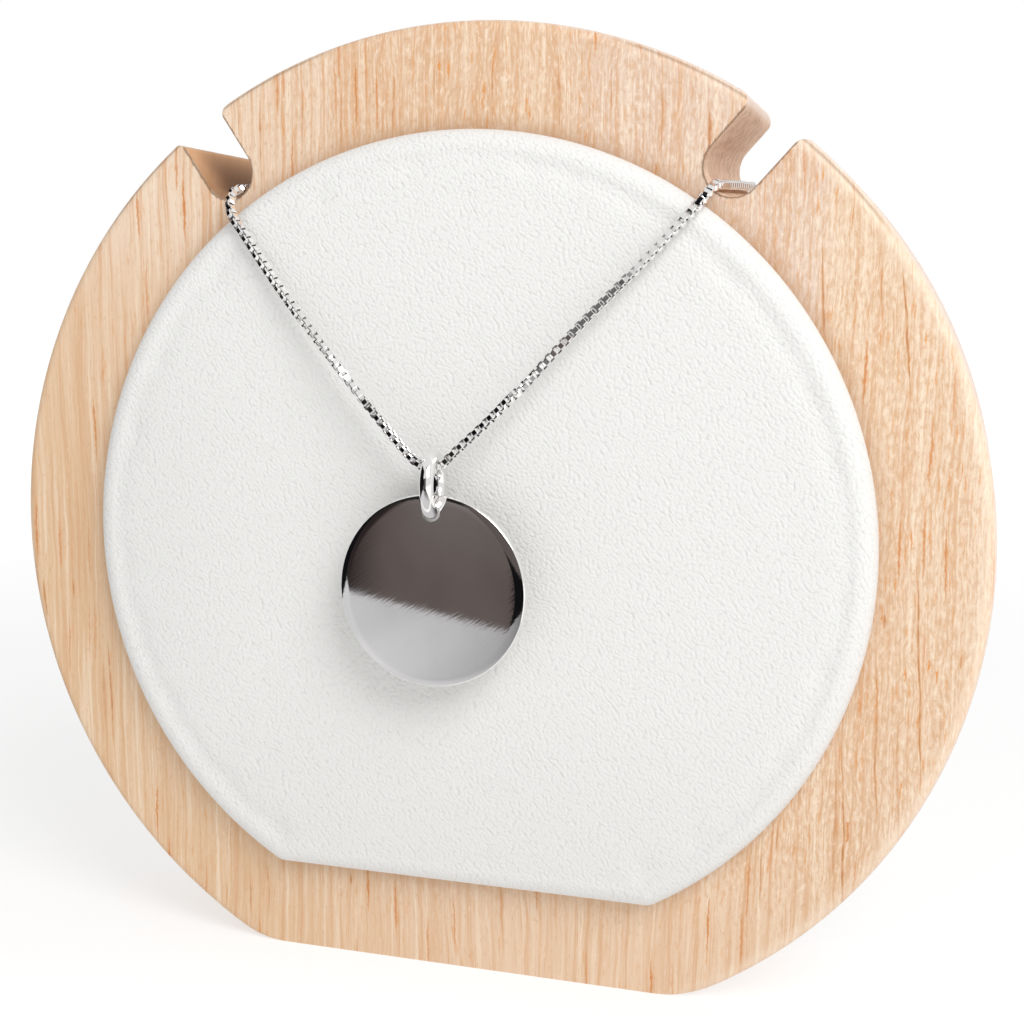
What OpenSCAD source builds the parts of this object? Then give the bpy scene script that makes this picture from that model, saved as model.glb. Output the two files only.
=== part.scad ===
// Medallion necklace on a round wooden display stand.
// The board stands on its flat bottom and faces -Y. A padded disc covers its front.
// The chain crosses the board through two notches, carries the medallion in front
// and hangs down behind the board, where its clasp lies on the table.
// All sizes are in millimetres. Z = 0 is the table.

/* [Stand board] */
// Radius of the round board
board_r = 66; // [62:0.5:70]
// Thickness of the board
board_t = 23; // [20:0.5:26]
// Height of the circle's centre above the table
board_centre_h = 58.3; // [56:0.1:60]
// Radius of the two corners at the flat bottom
board_corner_r = 18.8; // [12:0.2:22]
// Rounding of the round edge, front and back
board_edge_r = 1.5; // [0.5:0.1:3]

/* [Chain notches] */
// Distance of each notch's round bottom from the middle
notch_x = 33.4; // [32:0.1:35]
// Height of the round bottom's centre above the circle's centre
notch_up = 47.6; // [46:0.1:49]
// Width of the left notch
notch_w_left = 6.9; // [6.6:0.1:8]
// Width of the right notch
notch_w_right = 7.3; // [6.6:0.1:8]
// Slope of the left notch, measured from the horizontal
notch_slope_left = 56; // [50:1:60]
// Slope of the right notch, measured from the horizontal
notch_slope_right = 48; // [44:1:56]
// Rise of the notch floors towards the back
notch_floor_rise = 4; // [0:0.5:5]
// Rounding of the corners at each notch's mouth
notch_mouth_r = 1.6; // [0.8:0.1:2.5]

/* [Pad] */
// Radius of the padded disc
pad_r = 52.5; // [50:0.5:54]
// Height of the pad's flat bottom edge below the circle's centre
pad_chord_down = 45.7; // [42:0.1:47]
// Thickness of the pad
pad_t = 3.5; // [3:0.1:4]
// Rounding of the pad's front edge
pad_edge_r = 2.4; // [1.5:0.1:2.8]

/* [Medallion] */
// Diameter of the medallion
medallion_d = 24.6; // [22:0.1:28]
// Thickness of the medallion
medallion_t = 1.2; // [1:0.1:1.4]
// Diameter of the hole that the ring passes
medallion_hole_d = 2.2; // [2.1:0.05:2.4]
// Metal between the hole and the medallion's rim
medallion_hole_edge = 1.2; // [1:0.1:1.8]
// Rounding of the medallion's rim
medallion_rim_r = 0.4; // [0.2:0.05:0.5]
// Sideways place of the medallion, from the board's middle
medallion_x = -1.7; // [-3:0.1:-1]

/* [Bail ring] */
// Diameter of the ring's wire
bail_wire_d = 1.8; // [1.6:0.05:1.9]
// Diameter of the ring, measured at the middle of its wire
bail_ring_d = 7; // [6.8:0.1:7.2]
// Turn of the ring about the vertical
bail_turn = 6; // [0:1:8]

/* [Chain and clasp] */
// Outer width of the box chain
chain_w = 1.2; // [1:0.05:1.2]
// Diameter of the clasp's ring, measured at the middle of its tube
clasp_ring_d = 5; // [4.8:0.1:5.2]
// Diameter of the clasp's tube
clasp_tube_d = 1.4; // [1.3:0.05:1.4]
// Diameter of the wire of the two small rings at the clasp
link_wire_d = 0.6; // [0.5:0.05:0.6]

/* [Hidden] */

// Number of sides of the large rounds and of the wires.
round_fn = 96;
wire_fn = 32;

// Clearance between neighbouring pieces, and how far a cutter runs past what it cuts.
gap = 0.1;
over = 2;

// The pad lies on the board's front face, and the ring hangs just in front of it.
pad_front = pad_t + gap;
bail_outer_r = (bail_ring_d + bail_wire_d) / 2;
bail_inner_r = (bail_ring_d - bail_wire_d) / 2;
bail_y = -(pad_front + 2 * gap + bail_outer_r);

// The chain passes just under the wire at the top of the ring.
vertex_z = 68.75;
bail_z = vertex_z + chain_w / 2 + 1.5 * gap + bail_wire_d / 2 - bail_ring_d / 2;

// The medallion's hole hangs on the wire at the bottom of the ring.
hole_top_z = bail_z - sqrt(pow(bail_inner_r, 2) - pow(medallion_t / 2, 2)) + gap / 2;
hole_z = hole_top_z - medallion_hole_d / 2;
medallion_z = hole_top_z + medallion_hole_edge - medallion_d / 2;

// The clasp lies behind the board, on the bottom wires of the two small rings.
clasp_x = 1.1;
clasp_y = 36.4;
clasp_r = clasp_ring_d / 2;
clasp_tube_r = clasp_tube_d / 2;
clasp_z = link_wire_d + 1.5 * gap + clasp_tube_r;
trigger_turn = -60;

// The eyelet's wire is sunk into the clasp's ring, as if soldered.
eyelet_r = 0.95;
eyelet_wire_d = 0.7;
eyelet_sink = 0.25;
eyelet_x = clasp_x - clasp_r - clasp_tube_r - eyelet_r + eyelet_sink;

// The two small rings stand upright on the table.
clasp_link_r = 1.25;
end_ring_r = 1.7;
clasp_link_z = clasp_link_r + link_wire_d / 2 + gap / 2;
end_ring_z = end_ring_r + link_wire_d / 2 + gap / 2;

// Place of the board's front face, so that the frame's middle lies halfway
// between the ring's front and the clasp's back.
front_y = (bail_outer_r - bail_y - clasp_y - clasp_r - clasp_tube_r) / 2;

// Route of the chain, from one side of the clasp round to the other:
// sideways, back from the board's front face, and up from the table.
chain_route = [
    [-5.8, 36.4, 1.6], [-8.9, 35.8, 0.9], [-12.2, 33.7, 0.7], [-14.5, 30.5, 0.8],
    [-15.4, 27.2, 1.7], [-16.2, 25, 4.6], [-18.9, 24, 12], [-22.8, 23.8, 28],
    [-26.2, 23.8, 49], [-29.2, 23.8, 72], [-31.6, 23.9, 94], [-32.3, 24.2, 102.4],
    [-32.5, 24.1, 104.7], [-32.6, 22.8, 105.4], [-32.5, 20.5, 105.2], [-32, 10, 104.4],
    [-31.6, 0.6, 103.8], [-31.7, -1.8, 103.3], [-31.4, -3.5, 101.9], [-30.7, -4.3, 100.1],
    [-29.3, -4.5, 98.2], [-24.5, -5.1, 91.9], [-18.3, -6, 84.5], [-12.2, -6.9, 77.8],
    [-5.4, -7.8, 70.8], [-3.3, -8.1, 69.2], [medallion_x, bail_y, vertex_z], [-0.3, -8.1, 69.45],
    [1, -7.8, 70.8], [5.6, -7.3, 75.2], [11.3, -6.5, 81.3], [17.1, -5.8, 87.6],
    [23.2, -5.1, 93.8], [28.4, -4.6, 99.4], [30.2, -3.9, 101.5], [31.1, -2.4, 103],
    [31.5, -0.6, 103.7], [31.6, 2, 103.9], [32.1, 12, 104.5], [32.5, 20.5, 104.9],
    [32.6, 22.7, 105.1], [32.6, 24, 104.5], [32.4, 24.2, 102.4], [31.6, 23.9, 94],
    [29.2, 23.8, 72], [26.2, 23.8, 49], [22.8, 23.8, 28], [18.9, 24, 12], [16.2, 25, 4.6],
    [15.4, 27.2, 1.7], [14.5, 30.5, 0.8], [12.2, 33.7, 0.7], [8.9, 35.8, 0.9], [5.8, 36.4, 1.6]
];
chain_sides = 8;
long_step = 7;

// Point on a Catmull-Rom curve between route points b and c, at t from 0 to 1.
function curve_point(a, b, c, d, t) =
    0.5 * (2 * b + (c - a) * t + (2 * a - 5 * b + 4 * c - d) * t * t
        + (3 * b - a - 3 * c + d) * t * t * t);

// Route with one more point in the middle of each of its long steps.
function smooth_route(p, n) =
    [for (i = [0 : n - 1]) each concat([p[i]],
        i < n - 1 && norm(p[i + 1] - p[i]) > long_step
            ? [curve_point(p[max(i - 1, 0)], p[i], p[i + 1], p[min(i + 2, n - 1)], 0.5)]
            : [])];

function unit(v) = v / norm(v);
function tangent(p, i, n) = unit(p[min(i + 1, n - 1)] - p[max(i - 1, 0)]);
function across(v, along) = unit(v - (v * along) * along);

// Sideways directions carried along the route without twist.
function side_directions(p, n) =
    [for (i = 0, s = across([0, 0, 1], tangent(p, 0, n)); i < n;
        i = i + 1, s = i < n ? across(s, tangent(p, i, n)) : s) s];

// One ring of points round the route at point i.
function tube_ring(p, sides, i, n, r, count) =
    let (t = tangent(p, i, n), s = sides[i], u = cross(t, s))
    [for (k = [0 : count - 1]) p[i] + r * (cos(360 * k / count) * s + sin(360 * k / count) * u)];

module tube(p, r, count) {
    n = len(p);
    sides = side_directions(p, n);
    points = [for (i = [0 : n - 1]) each tube_ring(p, sides, i, n, r, count)];
    walls = [for (i = [0 : n - 2], k = [0 : count - 1])
        [i * count + k, (i + 1) * count + k,
            (i + 1) * count + (k + 1) % count, i * count + (k + 1) % count]];
    first_cap = [for (k = [0 : count - 1]) k];
    last_cap = [for (k = [count - 1 : -1 : 0]) (n - 1) * count + k];
    polyhedron(points = points, faces = concat([first_cap], walls, [last_cap]));
}

module torus(r, wire_d) {
    rotate_extrude($fn = round_fn) translate([r, 0]) circle(d = wire_d, $fn = wire_fn);
}

// Turns an outline drawn in X and Z into a plate from the depth y0 to y1.
module plate(y0, y1) {
    translate([0, y1, 0]) rotate([90, 0, 0]) linear_extrude(y1 - y0) children();
}

// Circle cut by a flat bottom, with rounded corners tangent to both.
module board_outline() {
    reach = board_r - board_corner_r;
    corner_z = board_corner_r - board_centre_h;
    corner_x = sqrt(pow(reach, 2) - pow(corner_z, 2));
    outward = (board_r + over) / reach;
    difference() {
        circle(board_r, $fn = round_fn);
        translate([-board_r, -2 * board_centre_h]) square([2 * board_r, board_centre_h]);
        for (side = [-1, 1]) difference() {
            polygon([[side * corner_x, corner_z], [side * corner_x, -board_centre_h - over],
                [side * board_r, -board_centre_h - over], [side * outward * corner_x, outward * corner_z]]);
            translate([side * corner_x, corner_z]) circle(board_corner_r, $fn = round_fn);
        }
    }
}

// Round disc of radius r from y0 to y1, its edges rounded at front and back.
module rounded_disc(r, y0, y1, front_edge_r, back_edge_r) {
    t = y1 - y0;
    translate([0, y1, 0]) rotate([90, 0, 0]) rotate_extrude($fn = round_fn) intersection() {
        square([r, t]);
        union() {
            square([r - front_edge_r, t]);
            translate([0, back_edge_r]) square([r, t - front_edge_r - back_edge_r]);
            translate([r - front_edge_r, t - front_edge_r]) circle(front_edge_r, $fn = wire_fn);
            if (back_edge_r > 0)
                translate([r - back_edge_r, back_edge_r]) circle(back_edge_r, $fn = wire_fn);
        }
    }
}

// Long enough to run out through the board's round edge.
slot_length = 20;

// Slot with a round bottom, its floor rising towards the back.
module notch_slot(w, slope) {
    translate([notch_x, 0, notch_up]) rotate([0, -slope, 0]) rotate([0, 0, -notch_floor_rise])
        translate([0, -over, 0]) {
            rotate([-90, 0, 0]) cylinder(d = w, h = board_t + 3 * over, $fn = round_fn);
            translate([0, 0, -w / 2]) cube([slot_length, board_t + 3 * over, w]);
        }
}

// Corner between a notch wall and the round edge, cut back to a small radius.
module mouth_corner(w, slope, side) {
    r = notch_mouth_r;
    centre_along = -(notch_x * cos(slope) + notch_up * sin(slope));
    centre_across = notch_x * sin(slope) - notch_up * cos(slope);
    round_across = side * (w / 2 + r);
    round_along = centre_along
        + sqrt(pow(board_r - r, 2) - pow(round_across - centre_across, 2));
    outward = (board_r + over) / (board_r - r);
    translate([notch_x, notch_up]) rotate(slope) difference() {
        polygon([[round_along, side * (w / 2 - gap)], [round_along + 3 * r, side * (w / 2 - gap)],
            [centre_along + outward * (round_along - centre_along),
                centre_across + outward * (round_across - centre_across)],
            [round_along, round_across]]);
        translate([round_along, round_across]) circle(r, $fn = wire_fn);
    }
}

module notch(w, slope) {
    notch_slot(w, slope);
    plate(-over, board_t + over) {
        mouth_corner(w, slope, 1);
        mouth_corner(w, slope, -1);
    }
}

module stand_board() {
    color([0.88, 0.74, 0.61]) translate([0, front_y, board_centre_h]) difference() {
        intersection() {
            plate(0, board_t) board_outline();
            rounded_disc(board_r, 0, board_t, board_edge_r, board_edge_r);
        }
        notch(notch_w_right, notch_slope_right);
        mirror([1, 0, 0]) notch(notch_w_left, notch_slope_left);
    }
}

module pad() {
    color([0.9, 0.89, 0.88]) translate([0, front_y, board_centre_h]) difference() {
        rounded_disc(pad_r, -pad_front, -gap, pad_edge_r, 0);
        translate([-pad_r, -2 * pad_front, -pad_chord_down - pad_r])
            cube([2 * pad_r, 3 * pad_front, pad_r]);
        difference() {
            translate([-pad_r, -pad_front - over, -pad_chord_down - over])
                cube([2 * pad_r, over + pad_edge_r, over + pad_edge_r]);
            translate([-pad_r - over, pad_edge_r - pad_front, pad_edge_r - pad_chord_down])
                rotate([0, 90, 0]) cylinder(r = pad_edge_r, h = 2 * pad_r + 2 * over, $fn = round_fn);
        }
    }
}

module chain() {
    color([0.8, 0.8, 0.82]) translate([0, front_y, 0])
        tube(smooth_route(chain_route, len(chain_route)), chain_w / 2, chain_sides);
}

module bail_ring() {
    color([0.82, 0.82, 0.84]) translate([medallion_x, front_y + bail_y, bail_z])
        rotate([0, 0, bail_turn]) rotate([0, 90, 0]) torus(bail_ring_d / 2, bail_wire_d);
}

module medallion() {
    color([0.7, 0.7, 0.73]) translate([medallion_x, front_y + bail_y, medallion_z])
        difference() {
            rotate([90, 0, 0]) translate([0, 0, -medallion_t / 2]) rotate_extrude($fn = round_fn) {
                r = medallion_d / 2;
                square([r - medallion_rim_r, medallion_t]);
                translate([0, medallion_rim_r]) square([r, medallion_t - 2 * medallion_rim_r]);
                for (y = [medallion_rim_r, medallion_t - medallion_rim_r])
                    translate([r - medallion_rim_r, y]) circle(medallion_rim_r, $fn = wire_fn);
            }
            translate([0, medallion_t, hole_z - medallion_z]) rotate([90, 0, 0])
                cylinder(d = medallion_hole_d, h = 2 * medallion_t, $fn = round_fn);
        }
}

// Spring ring with its eyelet and its trigger, soldered into one.
module clasp() {
    color([0.8, 0.8, 0.82]) translate([0, front_y + clasp_y, clasp_z]) {
        translate([clasp_x, 0, 0]) {
            torus(clasp_r, clasp_tube_d);
            rotate([90, 0, trigger_turn]) translate([0, 0, clasp_r])
                cylinder(d = link_wire_d, h = clasp_tube_d, $fn = wire_fn);
        }
        translate([eyelet_x, 0, 0]) torus(eyelet_r, eyelet_wire_d);
    }
}

// Small ring that joins the chain to the clasp's eyelet.
module clasp_link() {
    lift = clasp_link_z - clasp_z;
    link_x = eyelet_x - sqrt(pow(clasp_link_r, 2) - pow(lift, 2));
    color([0.8, 0.8, 0.82]) translate([link_x, front_y + clasp_y, clasp_link_z])
        rotate([90, 0, 0]) torus(clasp_link_r, link_wire_d);
}

// Ring at the chain's other end, which the clasp holds.
module end_ring() {
    color([0.8, 0.8, 0.82]) translate([clasp_x + clasp_r, front_y + clasp_y, end_ring_z])
        rotate([90, 0, 0]) torus(end_ring_r, link_wire_d);
}

stand_board();
pad();
chain();
bail_ring();
medallion();
clasp();
clasp_link();
end_ring();
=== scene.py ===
from contextlib import contextmanager
from math import atan2, cos, pi, radians, sin

import bmesh
import bpy
from bpy.props import FloatProperty, FloatVectorProperty, IntProperty, PointerProperty
from mathutils import Matrix, Vector


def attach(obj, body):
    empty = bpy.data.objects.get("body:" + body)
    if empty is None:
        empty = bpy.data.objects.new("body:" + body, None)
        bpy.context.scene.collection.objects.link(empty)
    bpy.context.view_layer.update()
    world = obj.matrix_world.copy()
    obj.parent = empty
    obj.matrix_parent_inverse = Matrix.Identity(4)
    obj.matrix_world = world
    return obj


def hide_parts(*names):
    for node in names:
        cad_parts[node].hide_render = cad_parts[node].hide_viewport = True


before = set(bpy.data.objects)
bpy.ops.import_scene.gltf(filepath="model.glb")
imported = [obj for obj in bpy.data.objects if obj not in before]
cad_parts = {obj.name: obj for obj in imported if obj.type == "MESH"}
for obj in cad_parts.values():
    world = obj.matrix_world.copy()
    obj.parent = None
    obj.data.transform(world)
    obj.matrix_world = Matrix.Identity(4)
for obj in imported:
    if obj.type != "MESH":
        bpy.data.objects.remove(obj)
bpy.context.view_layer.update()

bl_info = {
    "name": "Medallion necklace on a round display board",
    "version": (1, 0, 0),
    "blender": (4, 5, 0),
    "location": "3D View > Sidebar > Necklace",
    "description": "Builds a box chain with a plain medallion on a padded wooden display board",
    "category": "Add Mesh",
}

MM = 0.001

# The camera that was fitted to the photo: its place, its lens in millimetres, its turns in degrees.
CAMERA = Vector((61.08, -198.48, 90.04))
CAMERA_LENS = 53.18
CAMERA_LEFT, CAMERA_DOWN, CAMERA_ROLL = 16.52, 8.08, 0.63

# The white world's strength as a light and in mirrors, and the soft key light's power in watts.
WORLD_LIGHT, WORLD_MIRRORED = 0.6, 0.8
KEY_POWER = 1.85

# Sizes and places as in part.scad, in millimetres.
BOARD_FRONT_Y = -13.5
BOARD_R = 66
BOARD_CENTRE_Z = 58.3
PAD_R = 52.5
PAD_BOTTOM_Z = 12.6
PAD_FRONT_Y, PAD_BACK_Y = -17.1, -13.6
PAD_EDGE_R = 2.4
PAD_BACK_EDGE_R = 0.9
# The notches: the round bottoms' distance from the middle and height, then on the right and on the
# left the slope in degrees and the width.
NOTCH_X, NOTCH_Z = 33.4, 105.9
NOTCHES = {1: (48, 7.3), -1: (56, 6.9)}
MEDALLION = Vector((-1.7, -21.7, 53.32))
MEDALLION_R = 12.3
MEDALLION_T = 1.2
HOLE_Z = 63.32
HOLE_R = 1.1
BAIL = Vector((-1.7, -21.7, 66.9))
BAIL_R = 3.5
BAIL_WIRE_R = 0.9
BAIL_TURN = 6
CLASP = Vector((1.1, 22.9, 1.45))
CLASP_R = 2.5
CLASP_TUBE_R = 0.7
EYELET_X = -2.8
EYELET_R = 0.95
EYELET_WIRE_R = 0.35
TRIGGER_TURN = -60

# The clasp's trigger: radius, length, how far its middle lies outside the ring, and its rounding.
TRIGGER_R, TRIGGER_LENGTH, TRIGGER_OUT, TRIGGER_ROUNDING = 0.3, 1.2, 0.75, 0.1

# Points closer than the first are merged, and lengths under the second count as none.
MERGE_WITHIN, TINY = 0.002, 0.01

# The pad's cover starts this much inside its solid, to swell into it, and its rim ends this much
# inside. The rim has this width, and fades into the front over this much of it. The cover is held
# to the board behind this Y.
PAD_SPARE, PAD_RIM_SPARE = 0.3, 0.03
PAD_RIM_WIDTH, PAD_RIM_BLEND = 4.6, 2
PAD_HELD_Y = -14.2

# The cloth's frames, its steps in each, its weight and the air pressure in it, and how much of its
# creep sideways is kept.
SWELL_FRAMES, SWELL_QUALITY = 20, 5
SWELL_MASS, SWELL_PRESSURE = 0.05, 60
SWELL_SIDEWAYS = 0.3

# The medallion's polished rim: its width, the steps in which its faces fall away, how sharply they
# do, and its rounding. Then the rounding of the hole, and the least area of a face in mm2.
RIM_WIDTH, RIM_STEPS, RIM_CURVE, RIM_ROUNDING = 1.3, 8, 2.2, 0.3
HOLE_ROUNDING = 0.08
LEAST_FACE = 50

# The links' middles run on this far past both ends of the chain's route, and the edges of a link's
# strip are rounded by this part of its thickness.
CHAIN_OVERHANG = 0.4
LINK_ROUNDING = 0.3

# Route of the chain as in part.scad: sideways, back from the board's front face, up.
CHAIN_ROUTE = [
    (-5.8, 36.4, 1.6), (-8.9, 35.8, 0.9), (-12.2, 33.7, 0.7), (-14.5, 30.5, 0.8),
    (-15.4, 27.2, 1.7), (-16.2, 25, 4.6), (-18.9, 24, 12), (-22.8, 23.8, 28),
    (-26.2, 23.8, 49), (-29.2, 23.8, 72), (-31.6, 23.9, 94), (-32.3, 24.2, 102.4),
    (-32.5, 24.1, 104.7), (-32.6, 22.8, 105.4), (-32.5, 20.5, 105.2), (-32, 10, 104.4),
    (-31.6, 0.6, 103.8), (-31.7, -1.8, 103.3), (-31.4, -3.5, 101.9), (-30.7, -4.3, 100.1),
    (-29.3, -4.5, 98.2), (-24.5, -5.1, 91.9), (-18.3, -6, 84.5), (-12.2, -6.9, 77.8),
    (-5.4, -7.8, 70.8), (-3.3, -8.1, 69.2), (-1.7, -8.2, 68.75), (-0.3, -8.1, 69.45),
    (1, -7.8, 70.8), (5.6, -7.3, 75.2), (11.3, -6.5, 81.3), (17.1, -5.8, 87.6),
    (23.2, -5.1, 93.8), (28.4, -4.6, 99.4), (30.2, -3.9, 101.5), (31.1, -2.4, 103),
    (31.5, -0.6, 103.7), (31.6, 2, 103.9), (32.1, 12, 104.5), (32.5, 20.5, 104.9),
    (32.6, 22.7, 105.1), (32.6, 24, 104.5), (32.4, 24.2, 102.4), (31.6, 23.9, 94),
    (29.2, 23.8, 72), (26.2, 23.8, 49), (22.8, 23.8, 28), (18.9, 24, 12), (16.2, 25, 4.6),
    (15.4, 27.2, 1.7), (14.5, 30.5, 0.8), (12.2, 33.7, 0.7), (8.9, 35.8, 0.9), (5.8, 36.4, 1.6),
]

FRONT, BACK, UP = Vector((0, -1, 0)), Vector((0, 1, 0)), Vector((0, 0, 1))

# How the chain's flat side turns along it: route point, direction it faces there, and an extra
# turn in degrees.
CHAIN_FACING = [
    (0, UP, 0), (4, BACK, 0), (9, BACK, 8), (14, UP, 20),
    (20, FRONT, -68), (20.5, FRONT, -64), (21, FRONT, -59), (21.5, FRONT, -55), (22, FRONT, -49),
    (22.5, FRONT, -40), (22.9, FRONT, -30), (23.2, FRONT, -3), (23.5, FRONT, 4), (24, FRONT, 8),
    (25, FRONT, 8), (26, FRONT, -2), (28, FRONT, -9), (29, FRONT, -22), (29.5, FRONT, -38),
    (30.1, FRONT, -72), (30.5, FRONT, -82), (32, FRONT, -97), (34, FRONT, -100),
    (38, UP, 0), (44, BACK, 6), (49, BACK, 0), (53, UP, 0),
]

# Bold grain lines of the board: X, highest Z, lowest Z, width, strength, lean in mm per mm.
GRAIN_LINES = [
    (30.4, 113, 107, 0.55, 1, 0.05), (44.9, 101, 70, 0.42, 1, 0.05), (54.4, 97, 76, 0.36, 1, 0.1),
    (51.4, 96, 86.7, 0.28, 0.7, 0.07), (52.8, 90, 85, 0.26, 0.8, 0.06), (57.8, 62, 28, 0.4, 1, 0.07),
    (49.6, 40, 6, 0.36, 1, 0.04), (48.6, 38, 8, 0.4, 0.6, 0.03), (53.1, 48, 24, 0.4, 0.8, 0.04),
    (56, 42, 20, 0.4, 0.45, 0.04), (53.4, 52.8, 50.6, 0.4, 0.9, 0), (62.6, 48.4, 46.2, 0.4, 0.6, 0),
    (39.6, 24, 12, 0.3, 0.8, 0.02), (41.5, 26.5, 20, 0.28, 0.7, 0.02), (-16.3, 11.6, 9.2, 0.5, 0.9, 0),
    (-29, 12, 2, 0.3, 0.5, 0), (-31.6, 13, 2, 0.36, 0.6, 0), (-35.4, 9.5, 2, 0.3, 0.5, 0),
    (-63.3, 50.2, 43.4, 0.5, 0.9, 0.1), (-58.7, 50.2, 46.4, 0.42, 0.9, 0.05),
    (-53.1, 43, 24, 0.5, 0.9, 0.04), (-54.3, 41, 26, 0.5, 0.5, 0.03), (-31.8, 117, 110, 0.3, 0.6, 0),
    (-28.6, 117, 105, 0.34, 0.8, 0), (-22.8, 118, 107, 0.3, 0.5, 0), (-17.2, 119, 106, 0.34, 0.7, -0.02),
    (-10.2, 120, 108, 0.36, 0.7, -0.02), (-4.5, 122, 112, 0.3, 0.6, 0), (3.2, 122, 110, 0.3, 0.6, 0),
    (11.5, 121, 109, 0.34, 0.7, 0.02), (18.4, 119, 108, 0.3, 0.6, 0.02), (24.6, 117, 106, 0.34, 0.7, 0.03),
]


class NecklaceSizes(bpy.types.PropertyGroup):
    """Sizes that the operators read."""

    link_width: FloatProperty(
        name="Link width", description="Outer width of one chain link",
        default=1.18 * MM, unit="LENGTH", subtype="DISTANCE")
    link_strip: FloatProperty(
        name="Link strip width", description="Width of the strip that a link is bent from",
        default=0.74 * MM, unit="LENGTH", subtype="DISTANCE")
    link_wall: FloatProperty(
        name="Link strip thickness", description="Thickness of the strip that a link is bent from",
        default=0.26 * MM, unit="LENGTH", subtype="DISTANCE")
    link_bend: FloatProperty(
        name="Link bend", description="How far each bend of a link cuts its corner",
        default=0.3 * MM, unit="LENGTH", subtype="DISTANCE")
    board_edge: FloatProperty(
        name="Notch edge rounding", description="Width of the sanded edge round the notches",
        default=0.35 * MM, unit="LENGTH", subtype="DISTANCE")
    pad_swell: FloatProperty(
        name="Pad swell", description="The most that the filling may push the cover out",
        default=0.3 * MM, unit="LENGTH", subtype="DISTANCE")
    medallion_rim: FloatProperty(
        name="Medallion rim fall", description="How far the polished face falls away towards its rim",
        default=0.07 * MM, unit="LENGTH", subtype="DISTANCE")
    pad_voxel: FloatProperty(
        name="Pad detail", description="Size of the pad's mesh cells before smoothing",
        default=1.0 * MM, unit="LENGTH", subtype="DISTANCE")
    ring_segments: IntProperty(
        name="Ring segments", description="Number of segments round the bail ring", default=144, min=24)


class NecklaceColours(bpy.types.PropertyGroup):
    """Colours that the materials read."""

    wood_pale: FloatVectorProperty(
        name="Pale wood", description="Colour between the grain lines",
        default=(0.77, 0.565, 0.4), subtype="COLOR", min=0, max=1)
    wood_deep: FloatVectorProperty(
        name="Deep wood", description="Colour of the broad darker bands",
        default=(0.7, 0.475, 0.31), subtype="COLOR", min=0, max=1)
    leather: FloatVectorProperty(
        name="Pad cover", description="Colour of the white leatherette",
        default=(0.785, 0.78, 0.765), subtype="COLOR", min=0, max=1)
    silver: FloatVectorProperty(
        name="Silver", description="Colour of the polished silver",
        default=(0.93, 0.92, 0.91), subtype="COLOR", min=0, max=1)
    floor: FloatVectorProperty(
        name="Floor", description="Colour of the studio floor",
        default=(0.4, 0.4, 0.4), subtype="COLOR", min=0, max=1)


def clear_selection():
    if bpy.context.object and bpy.context.object.mode != "OBJECT":
        bpy.ops.object.mode_set(mode="OBJECT")
    bpy.ops.object.select_all(action="DESELECT")


def make_active(piece):
    clear_selection()
    piece.select_set(True)
    bpy.context.view_layer.objects.active = piece


def add(primitive, name, **settings):
    """Adds one primitive by itself, names it and returns it."""
    clear_selection()
    primitive(**settings)
    piece = bpy.context.object
    piece.name = piece.data.name = name
    return piece


@contextmanager
def editing(piece, faces=None, edges=None):
    """Edit mode on one piece, with what a test accepts selected, or all of it without a test."""
    make_active(piece)
    bpy.ops.object.mode_set(mode="EDIT")
    bpy.ops.mesh.select_mode(type="FACE" if faces else "EDGE" if edges else "VERT")
    test = faces or edges
    bpy.ops.mesh.select_all(action="DESELECT" if test else "SELECT")
    if test:
        mesh = bmesh.from_edit_mesh(piece.data)
        mesh.normal_update()
        for item in mesh.faces if faces else mesh.edges:
            item.select = test(item)
        mesh.select_flush_mode()
        bmesh.update_edit_mesh(piece.data)
    yield
    bpy.ops.object.mode_set(mode="OBJECT")


def sharper_than(degrees):
    """A test for edges at which the surface turns by more than an angle."""
    return lambda edge: edge.calc_face_angle(0) > radians(degrees)


def modify(piece, kind, **settings):
    """Adds one modifier with its settings and applies it."""
    make_active(piece)
    modifier = piece.modifiers.new(kind.title(), kind)
    for key, value in settings.items():
        setattr(modifier, key, value)
    bpy.ops.object.modifier_apply(modifier=modifier.name)


def settle(piece, angle):
    """Puts a finished piece's place into its mesh and smooths the edges below an angle in degrees."""
    make_active(piece)
    bpy.ops.object.transform_apply(location=True, rotation=True, scale=True)
    bpy.ops.object.shade_smooth_by_angle(angle=radians(angle))


def join(pieces, name):
    make_active(pieces[0])
    for piece in pieces:
        piece.select_set(True)
    bpy.ops.object.join()
    pieces[0].name = pieces[0].data.name = name
    return pieces[0]


def merged_copy(node, name):
    """A copy of a CAD node's mesh with its loose triangles merged, as a new piece."""
    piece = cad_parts[node].copy()
    piece.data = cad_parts[node].data.copy()
    for key in list(piece.keys()):
        del piece[key]
    piece.parent = None
    piece.name = piece.data.name = name
    bpy.context.scene.collection.objects.link(piece)
    with editing(piece):
        bpy.ops.mesh.remove_doubles(threshold=MERGE_WITHIN * MM)
    return piece


def finish_piece(piece, body, slot, paint, *nodes):
    """Gives a piece its material and its body, and hides the CAD nodes it stands in for. Slot is unused."""
    piece.data.materials.clear()
    piece.data.materials.append(paint)
    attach(piece, body)
    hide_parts(*nodes)


def maths(operation, reflected=False):
    """Makes an operator for wires that adds one maths node."""
    def method(self, other=None):
        values = [self] if other is None else [other, self] if reflected else [self, other]
        return self.paint.node("ShaderNodeMath", {"operation": operation}, dict(enumerate(values)))
    return method


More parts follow.
